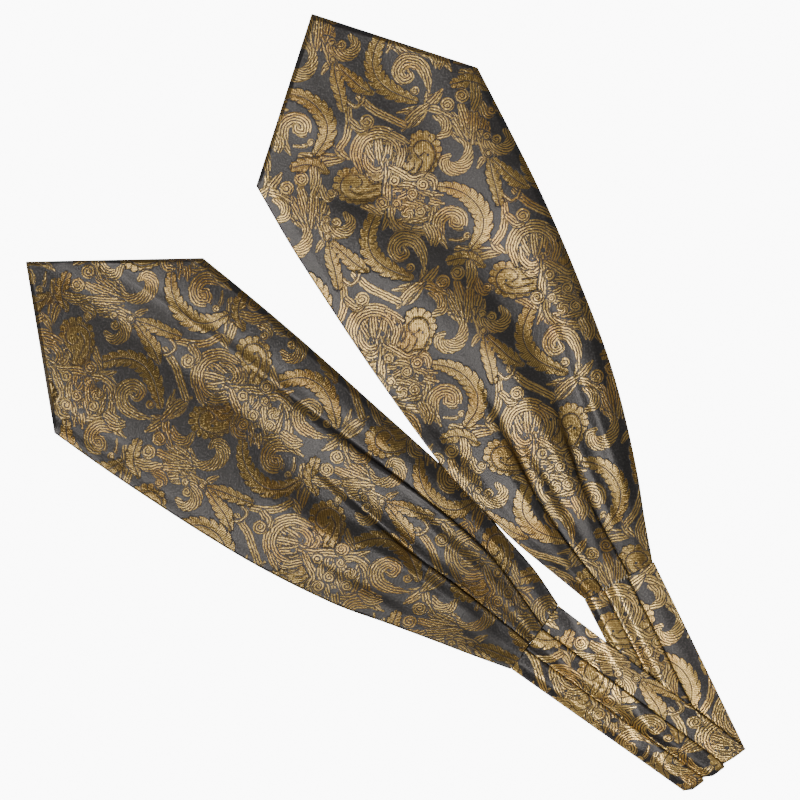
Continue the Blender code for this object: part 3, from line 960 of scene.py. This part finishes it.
def pattern_places(name, flat):
    """Places in the pattern, in mm from a medallion's middle, for places on a piece's flat cloth."""
    cut = dict(zip(CUT_COLUMNS, CUTS[name]))
    u = cut["mirror"] * flat[:, 0] - cut["u"]
    s = flat[:, 1] - cut["s"]
    cosine, sine = math.cos(CUT_TURN), math.sin(CUT_TURN)
    return np.stack([u * cosine - s * sine, u * sine + s * cosine], axis=1)


# %% [markdown]
# ## The silk's material
# One function makes the material, and each piece gets its own, with its colours painted lighter or
# darker: painted light and shade, for threads that lie another way to the lamp and so look lighter
# or darker. Where the stroke's depth is above nothing the thread is gold, and elsewhere it is
# charcoal. The drawn lines come from the line phase, and in the leaves the gold thread floats in
# fine ribs. All of it also goes into the bump, since the gold stands a little higher than its
# ground. Gold silk reflects like a soft metal, so it is mostly metallic, and the ground is a dull
# cloth with a faint twill, flecked with painted glints.

# %% A small helper for node trees
class Tree:
    """A material's node tree, with short calls for the nodes that this lesson uses."""

    def __init__(self, name):
        self.material = bpy.data.materials.new(name)
        self.material.use_nodes = True
        self.nodes = self.material.node_tree.nodes
        self.links = self.material.node_tree.links
        self.shader = self.nodes["Principled BSDF"]

    def add(self, kind, inputs=(), **settings):
        """A new node, with its settings, and with its inputs set or linked."""
        node = self.nodes.new(kind)
        for name, value in settings.items():
            setattr(node, name, value)
        for key, value in dict(inputs).items():
            if isinstance(value, bpy.types.NodeSocket):
                self.links.new(value, node.inputs[key])
            else:
                node.inputs[key].default_value = value
        return node

    def math(self, operation, a, b=0.0, c=0.0):
        """A sum on up to three values."""
        return self.add("ShaderNodeMath", {0: a, 1: b, 2: c}, operation=operation).outputs[0]

    def band(self, value, low, high, to_low=0.0, to_high=1.0):
        """A smooth step from one level to another as the value goes from low to high."""
        inputs = {"Value": value, 1: low, 2: high, 3: to_low, 4: to_high}
        return self.add("ShaderNodeMapRange", inputs, interpolation_type="SMOOTHSTEP").outputs[0]

    def mix(self, share, a, b):
        """A colour between two colours."""
        inputs = {"Factor": share, 6: a, 7: b}
        return self.add("ShaderNodeMix", inputs, data_type="RGBA").outputs[2]

    def noise(self, place, scale, detail=2.0):
        """Soft random patches, from 0 to 1."""
        inputs = {"Vector": place, "Scale": scale, "Detail": detail}
        return self.add("ShaderNodeTexNoise", inputs).outputs["Fac"]


# %% The brocade
GOLD = (0.345, 0.230, 0.074, 1.0)
GOLD_WARM = (0.300, 0.165, 0.040, 1.0)
GOLD_DEEP = (0.060, 0.036, 0.011, 1.0)
CHARCOAL = (0.0015, 0.0013, 0.0013, 1.0)
CHARCOAL_PAINTED_GLINT = (0.030, 0.026, 0.025, 1.0)
INK = (0.009, 0.004, 0.001, 1.0)
GOLD_EDGE, LINE_EDGE = 0.14, 0.16
LINE_WIDTH, LINE_WANDER = 0.40, 1.6
RIB_PITCH, TWILL_PITCH = 1.2, 0.9
GROUND_ROUGHNESS, GOLD_ROUGHNESS, GRAIN_ROUGHNESS = 0.37, 0.235, 0.07
METAL_SHARE = 0.85
SPECULAR_TINT = (1.0, 0.94, 0.90, 1.0)
BUMP_STRENGTH, BUMP_DISTANCE = 0.5, 0.00025


def painted_lit(colour, painted_light):
    """A colour made lighter or darker by painted light and shade."""
    return (*[painted_light * value for value in colour[:3]], 1.0)


def brocade(name, painted_light):
    """Gold figures on a charcoal ground, from the attributes that each mesh carries."""
    tree = Tree(name)
    drawn = tree.add("ShaderNodeAttribute", attribute_name="drawing")
    channels = tree.add("ShaderNodeSeparateColor", {"Color": drawn.outputs["Color"]})
    depth, phase, strength = (channels.outputs[k] for k in range(3))
    rib_place = drawn.outputs["Alpha"]
    cloth = tree.add("ShaderNodeAttribute", attribute_name="cloth").outputs["Vector"]
    place = tree.add("ShaderNodeSeparateXYZ", {"Vector": cloth})
    gold = tree.band(depth, -GOLD_EDGE, GOLD_EDGE)

    wander = tree.math("MULTIPLY", tree.math("SUBTRACT", tree.noise(cloth, 0.34), 0.5), LINE_WANDER)
    ribbed = tree.band(rib_place, 1.0, 5.0)
    wander = tree.math("MULTIPLY", wander, tree.math("SUBTRACT", 1.0, ribbed))
    away = tree.math("PINGPONG", tree.math("ADD", phase, wander), 0.5 * PITCH)
    line = tree.band(away, LINE_WIDTH - LINE_EDGE, LINE_WIDTH + LINE_EDGE, 1.0, 0.0)
    line = tree.math("MULTIPLY", tree.math("MULTIPLY", line, strength), gold)

    rib = tree.math("SINE", tree.math("MULTIPLY", rib_place, 2 * math.pi / RIB_PITCH))
    rib = tree.math("MULTIPLY_ADD", rib, 0.5, 0.5)
    # The ground's twill and grain: real texture in the bump and the gloss, and painted glints in its colour.
    slant = tree.math("ADD", place.outputs["X"], place.outputs["Y"])
    twill = tree.math("SINE", tree.math("MULTIPLY", slant, 2 * math.pi / TWILL_PITCH))
    grain = tree.noise(cloth, 0.75, 4.0)
    twilled = tree.math("MULTIPLY_ADD", twill, 0.45, 0.55)
    sparkle = tree.math("MULTIPLY", tree.band(grain, 0.42, 0.72), twilled)

    between = tree.math("MULTIPLY", ribbed, tree.math("MULTIPLY_ADD", rib, -0.8, 0.8))
    ribs = tree.math("SUBTRACT", 1.0, between)
    ribs = tree.math("MULTIPLY", ribs, tree.band(grain, 0.36, 0.58, 0.55, 1.0))
    warm = tree.band(tree.noise(cloth, 0.035), 0.45, 0.70, 0.0, 0.75)
    gold_colour = tree.mix(warm, painted_lit(GOLD, painted_light), painted_lit(GOLD_WARM, painted_light))
    gold_colour = tree.mix(ribs, painted_lit(GOLD_DEEP, painted_light), gold_colour)
    gold_colour = tree.mix(line, gold_colour, INK)
    # Painted glints: the charcoal is painted lighter where the twill and grain sparkle.
    ground = tree.mix(sparkle, painted_lit(CHARCOAL, painted_light), painted_lit(CHARCOAL_PAINTED_GLINT, painted_light))
    thread = tree.math("SUBTRACT", gold, tree.math("MULTIPLY", line, 0.9))
    tree.links.new(tree.mix(gold, ground, gold_colour), tree.shader.inputs["Base Color"])
    tree.links.new(tree.math("MULTIPLY", thread, METAL_SHARE), tree.shader.inputs["Metallic"])
    dull = tree.math("MULTIPLY", tree.math("SUBTRACT", 1.0, sparkle), GRAIN_ROUGHNESS)
    gloss = tree.band(thread, 0.0, 1.0, GROUND_ROUGHNESS, GOLD_ROUGHNESS)
    tree.links.new(tree.math("ADD", gloss, dull), tree.shader.inputs["Roughness"])
    tree.shader.inputs["Specular IOR Level"].default_value = 0.45
    tree.shader.inputs["Specular Tint"].default_value = SPECULAR_TINT

    height = tree.math("ADD", tree.math("MULTIPLY", thread, 0.9), tree.math("MULTIPLY", ribs, 0.45))
    height = tree.math("ADD", height, tree.math("MULTIPLY", sparkle, 0.5))
    relief = {"Height": height, "Strength": BUMP_STRENGTH, "Distance": BUMP_DISTANCE}
    bump = tree.add("ShaderNodeBump", relief)
    tree.links.new(bump.outputs["Normal"], tree.shader.inputs["Normal"])
    return tree.material


# Painted light and shade: each piece's colours are scaled lighter or darker, standing for how its threads
# catch the lamp; the neckband is painted brightest.
PAINTED_LIGHT_SCALES = {
    "left_front": 0.56,
    "right_front": 0.8,
    "left_back": 0.8,
    "right_back": 0.8,
    "upper_leg": 1.7,
    "lower_leg": 1.7,
}
SILKS = {name: brocade(name + "_brocade", painted_light) for name, painted_light in PAINTED_LIGHT_SCALES.items()}
print("Silks:", ", ".join(SILKS))


# %% [markdown]
# ## Meshes from grids
# A grid becomes a mesh of four-sided faces. The neckband's grids close round on themselves, and
# their open ends are closed with a strip of faces between the top and the underside.

# %% Make the pieces
def grid_faces(rows, columns, round_about):
    """The faces of a grid, as rows of four point numbers."""
    i = np.arange(columns if round_about else columns - 1)
    j = np.arange(rows - 1)[:, None]
    right = (i + 1) % columns
    near, far = j * columns, (j + 1) * columns
    return np.stack([near + i, near + right, far + right, far + i], axis=2).reshape(-1, 4)


def end_faces(first, columns, outward_first):
    """Faces between the top and the underside of a closed section, at one end of it."""
    half = columns // 2
    top = list(range(half + 1))
    under = [(columns - i) % columns for i in top]
    faces = [[top[0], top[1], under[1]], [top[half - 1], top[half], under[half - 1]]]
    faces += [[top[i], top[i + 1], under[i + 1], under[i]] for i in range(1, half - 1)]
    return [[first + corner for corner in (face if outward_first else face[::-1])] for face in faces]


def store_pattern(mesh, places):
    """Store the drawing's numbers and the place in the pattern at each point of a mesh."""
    drawing = mesh.attributes.new("drawing", "FLOAT_COLOR", "POINT")
    drawing.data.foreach_set("color", woven(places).astype(np.float32).ravel())
    cloth = mesh.attributes.new("cloth", "FLOAT_VECTOR", "POINT")
    flat_places = np.column_stack([places, np.zeros(len(places))])
    cloth.data.foreach_set("vector", flat_places.astype(np.float32).ravel())


def flat_area(flat):
    """The area of a grid's flat cloth, in square metres."""
    along, across = flat[1:, :-1] - flat[:-1, :-1], flat[:-1, 1:] - flat[:-1, :-1]
    cells = np.abs(along[..., 0] * across[..., 1] - along[..., 1] * across[..., 0])
    return float(cells.sum()) * MM * MM


def cloth_piece(name, grid, node):
    """A piece of cloth on its grid, with the pattern's numbers stored at its points."""
    points, flat = grid
    rows, columns = points.shape[:2]
    closed = name.endswith("leg")
    faces = grid_faces(rows, columns, closed).tolist()
    if not name.endswith("front"):
        faces = [face[::-1] for face in faces]
    if closed:
        faces += end_faces(0, columns, True) + end_faces((rows - 1) * columns, columns, False)
    vertices = (points.reshape(-1, 3) + SHIFT) * MM
    mesh = bpy.data.meshes.new(name)
    mesh.from_pydata(vertices.tolist(), [], faces)
    mesh.shade_smooth()
    store_pattern(mesh, pattern_places(name, flat.reshape(-1, 2)))
    mesh.materials.append(SILKS[name])
    piece = bpy.data.objects.new(name + "_silk", mesh)
    bpy.context.scene.collection.objects.link(piece)
    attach(piece, "root")
    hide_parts(node)
    area = flat_area(flat)
    print(name, len(faces), "faces, flat area", round(area, 4), "square metres")
    return piece, area


# %% The six pieces of silk, each in place of a CAD node
NODES = {
    "left_back": ("left_tail_back", "back_brocade"),
    "left_front": ("left_tail_front", "tail_brocade"),
    "right_back": ("right_tail_back", "back_brocade"),
    "right_front": ("right_tail_front", "tail_brocade"),
    "lower_leg": ("neckband_lower_leg", "band_brocade"),
    "upper_leg": ("neckband_upper_leg", "band_brocade"),
}
pieces, areas = {}, {}
for name, (node, slot) in NODES.items():
    pieces[name], areas[name] = cloth_piece(name, GRIDS[name], node)

# %% [markdown]
# ## Seams, stitches and painted shade lines
# A dark thread runs along each neck seam, in the narrow gap between tail and band. Round each tail
# runs a dark cord of painted shade, which stands for the shade line where front and back are joined
# and turned. On the right tail a row of cream hand stitches crosses the seam of the middle strip.
# Every thread and cord is a tube: rings of points along a line.

# %% Thread
RING_POINTS = 6
PLY_SCALE = 1600.0
THREAD_ROUGHNESS = 0.6


def thread_material(name, dark, light):
    """Twisted thread, a little lighter on its plies."""
    tree = Tree(name)
    place = tree.add("ShaderNodeTexCoord").outputs["Object"]
    ply = tree.band(tree.noise(place, PLY_SCALE), 0.35, 0.65)
    tree.links.new(tree.mix(ply, dark, light), tree.shader.inputs["Base Color"])
    tree.shader.inputs["Roughness"].default_value = THREAD_ROUGHNESS
    return tree.material


def rings_round(line, radius):
    """Rings of points round a line, square to it."""
    line = np.asarray(line, float)
    tangent = np.gradient(line, axis=0)
    tangent /= np.linalg.norm(tangent, axis=1)[:, None]
    side = np.cross(tangent, [0.0, 0.0, 1.0])
    side /= np.linalg.norm(side, axis=1)[:, None]
    up = np.cross(side, tangent)
    angles = np.linspace(0.0, 2 * math.pi, RING_POINTS, endpoint=False)[:, None]
    return line[:, None] + radius * (np.cos(angles) * side[:, None] + np.sin(angles) * up[:, None])


def tube_piece(name, lines, radius, material):
    """One mesh of tubes along the lines, each closed at both ends."""
    vertices, faces = [], []
    for line in lines:
        rings = rings_round(line, radius)
        first = len(vertices)
        last = first + RING_POINTS * (len(rings) - 1)
        faces += (grid_faces(len(rings), RING_POINTS, True)[:, ::-1] + first).tolist()
        faces += [list(range(first, first + RING_POINTS)), list(range(last, last + RING_POINTS))[::-1]]
        vertices += ((rings.reshape(-1, 3) + SHIFT) * MM).tolist()
    mesh = bpy.data.meshes.new(name)
    mesh.from_pydata(vertices, [], faces)
    mesh.shade_smooth()
    mesh.materials.append(material)
    piece = bpy.data.objects.new(name, mesh)
    bpy.context.scene.collection.objects.link(piece)
    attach(piece, "root")
    print(name, len(lines), "threads,", len(faces), "faces")
    return piece


# %% Where the threads and the painted shade lines lie
EDGE_SHADE_LINE, NECK_THREAD, HAND_THREAD = 0.13, 0.15, 0.18
SEAM_STEPS, SEAM_REACH, SEAM_SINK = 140, 0.8, 0.2
STITCHES, STITCH_STEPS, STITCH_SINK = 9, 7, 0.1
STITCH_FROM, STITCH_TO = -12.4, 6.2
STITCH_REACH, STITCH_LEAN, STITCH_ARCH = 1.0, 0.5, 0.35


def seam_height(half, t):
    """The height of the uppermost cloth at a place across the neck seam, on both sides of it."""
    heights = []
    for grid in (GRIDS[half.name + "_front"], GRIDS["upper_leg" if half is LEFT else "lower_leg"]):
        row = grid[0][0]
        _, across = half.local(row[:, :2])
        heights.append(row[np.abs(across - t) < SEAM_REACH, 2].max())
    return heights


def neck_seam(half):
    """The line of the thread in the gap between tail and band."""
    across = np.linspace(SEAM_REACH - BAND_HALF, BAND_HALF - SEAM_REACH, SEAM_STEPS)
    height = np.array([min(seam_height(half, t)) for t in across]) - SEAM_SINK
    return np.column_stack([half.place(np.full(SEAM_STEPS, 0.5 * GAP), across), height])


def edge_shade_line(half):
    """The line of painted shade round a tail, where its front and back are joined, from one side of the neck
    to the other.
    """
    points = GRIDS[half.name + "_front"][0]
    return np.concatenate([points[2:-4:3, 0], points[-1, ::3], points[-4:2:-3, -1]])


def hand_stitch(half, t):
    """One slanting stitch over the neck seam."""
    share = np.linspace(-1.0, 1.0, STITCH_STEPS)
    height = max(seam_height(half, t)) - STITCH_SINK + STITCH_ARCH * np.cos(0.5 * math.pi * share)
    plan = half.place(STITCH_REACH * share + 0.5 * GAP, t + STITCH_LEAN * share)
    return np.column_stack([plan, height])


# %% Sew, and lay the painted shade lines
DARK, DARK_PLY = (0.012, 0.010, 0.008, 1.0), (0.05, 0.04, 0.03, 1.0)
CREAM, CREAM_PLY = (0.45, 0.37, 0.25, 1.0), (0.85, 0.74, 0.54, 1.0)
DARK_THREAD_AND_SHADE_LINE = thread_material("dark_thread", DARK, DARK_PLY)
CREAM_THREAD = thread_material("cream_thread", CREAM, CREAM_PLY)
sewn_and_shade_lines = {}
for half in (LEFT, RIGHT):
    sewn_and_shade_lines[half.name + "_front"] = [
        # Painted shade: a dark cord round the tail's edge, standing for the shade line of its turned seam.
        tube_piece(half.name + "_edge_seam", [edge_shade_line(half)], EDGE_SHADE_LINE, DARK_THREAD_AND_SHADE_LINE),
        tube_piece(half.name + "_neck_seam", [neck_seam(half)], NECK_THREAD, DARK_THREAD_AND_SHADE_LINE),
    ]
stitch_lines = [hand_stitch(RIGHT, t) for t in np.linspace(STITCH_FROM, STITCH_TO, STITCHES)]
sewn_and_shade_lines["right_front"].append(tube_piece("hand_stitches", stitch_lines, HAND_THREAD, CREAM_THREAD))

# %% [markdown]
# The pleated fronts are wider when flat than they look.

# %% [markdown]
# ## The table
# The photograph's white is overexposed, as it is over a light box, so the table glows. If that glow
# fell on the cloth, it would light its folds from below and fill in their shadows, so the table is
# hidden from the rays by which other surfaces see it.

# %% A white table
TABLE_HALF, TABLE_DROP = 8.0, 0.0004
TABLE_GLOW = 9.0
WHITE = (1.0, 1.0, 1.0, 1.0)
PAPER, PAPER_ROUGHNESS = (0.93, 0.93, 0.93, 1.0), 0.9
table_mesh = bpy.data.meshes.new("table")
corners = [(TABLE_HALF * x, TABLE_HALF * y, -TABLE_DROP) for x, y in ((-1, -1), (1, -1), (1, 1), (-1, 1))]
table_mesh.from_pydata(corners, [], [(0, 1, 2, 3)])
paper = Tree("white_paper")
paper.shader.inputs["Base Color"].default_value = PAPER
paper.shader.inputs["Roughness"].default_value = PAPER_ROUGHNESS
paper.shader.inputs["Emission Color"].default_value = WHITE
paper.shader.inputs["Emission Strength"].default_value = TABLE_GLOW
table_mesh.materials.append(paper.material)
table = bpy.data.objects.new("table", table_mesh)
table.visible_diffuse = False
table.visible_glossy = False
bpy.context.scene.collection.objects.link(table)
print("Table", 2 * TABLE_HALF, "m wide")

# %% [markdown]
# ## The camera
# The photograph looks straight down, and the cravat is turned in it. A long lens from far away sees
# the cloth almost without perspective, so that its gloss stays the same across the picture.

# %% The camera, straight above, turned as in the photograph
PHOTO_TURN = math.radians(-40.6)
VIEW_CENTRE = (0.0030, 0.0489)
VIEW_WIDTH = 0.56
LENS, SENSOR = 300.0, 36.0
camera_data = bpy.data.cameras.new("camera")
camera_data.lens = LENS
camera_data.sensor_width = SENSOR
camera = bpy.data.objects.new("camera", camera_data)
camera.location = (*VIEW_CENTRE, VIEW_WIDTH * LENS / SENSOR)
camera.rotation_euler = (0.0, 0.0, PHOTO_TURN)
bpy.context.scene.collection.objects.link(camera)
bpy.context.scene.camera = camera
print("Camera", round(camera.location.z, 2), "m above the table")

# %% [markdown]
# ## The light
# Satin shows its folds by gloss: a slope that turns towards the lamp is bright, and one that turns
# away is dark. The photograph's bright slopes face its left side and a little down, so the large
# key lamp stands there, high up and far away. A weak lamp on the other side softens the shadows.

# %% Soft lamps, placed by the photograph's own sides
def soft_lamp(name, side, up, height, size, power):
    """A square lamp aimed at the frame's origin, placed along the photograph's width and height."""
    lamp_data = bpy.data.lights.new(name, "AREA")
    lamp_data.shape = "SQUARE"
    lamp_data.size = size
    lamp_data.energy = power
    lamp = bpy.data.objects.new(name, lamp_data)
    x = side * math.cos(PHOTO_TURN) - up * math.sin(PHOTO_TURN)
    y = side * math.sin(PHOTO_TURN) + up * math.cos(PHOTO_TURN)
    lamp.location = (x, y, height)
    aim = -lamp.location
    lamp.rotation_euler = aim.to_track_quat("-Z", "Y").to_euler()
    bpy.context.scene.collection.objects.link(lamp)
    print(name, "lamp", round(lamp.location.length, 2), "m from the cravat")


soft_lamp("key", -2.9, -1.35, 8.8, 2.1, 870.0)
soft_lamp("fill", 0.9, 0.9, 1.6, 1.6, 4.0)

# %% [markdown]
# ## The room
# From above the cloth mirrors the ceiling, and from a low angle it mirrors the walls. With pale
# walls and a darker ceiling, the folds keep their contrast in the photograph's view, and the cloth
# isn't lost in the dark when it is looked at from the side.

# %% A room with pale walls and a darker ceiling
CEILING_LIGHT, WALL_LIGHT = 0.11, 0.42
WALLS_UP_TO, CEILING_FROM = 0.60, 0.96
world = bpy.data.worlds.new("room")
world.use_nodes = True
room, room_links = world.node_tree.nodes, world.node_tree.links
look = room.new("ShaderNodeTexCoord")
upward = room.new("ShaderNodeSeparateXYZ")
walls = room.new("ShaderNodeMapRange")
walls.interpolation_type = "SMOOTHSTEP"
walls.inputs["From Min"].default_value = WALLS_UP_TO
walls.inputs["From Max"].default_value = CEILING_FROM
walls.inputs["To Min"].default_value = WALL_LIGHT
walls.inputs["To Max"].default_value = CEILING_LIGHT
room["Background"].inputs["Color"].default_value = WHITE
room_links.new(look.outputs["Generated"], upward.inputs["Vector"])
room_links.new(upward.outputs["Z"], walls.inputs["Value"])
room_links.new(walls.outputs["Result"], room["Background"].inputs["Strength"])
bpy.context.scene.world = world
print("Room light:", WALL_LIGHT, "from the walls and", CEILING_LIGHT, "from the ceiling")
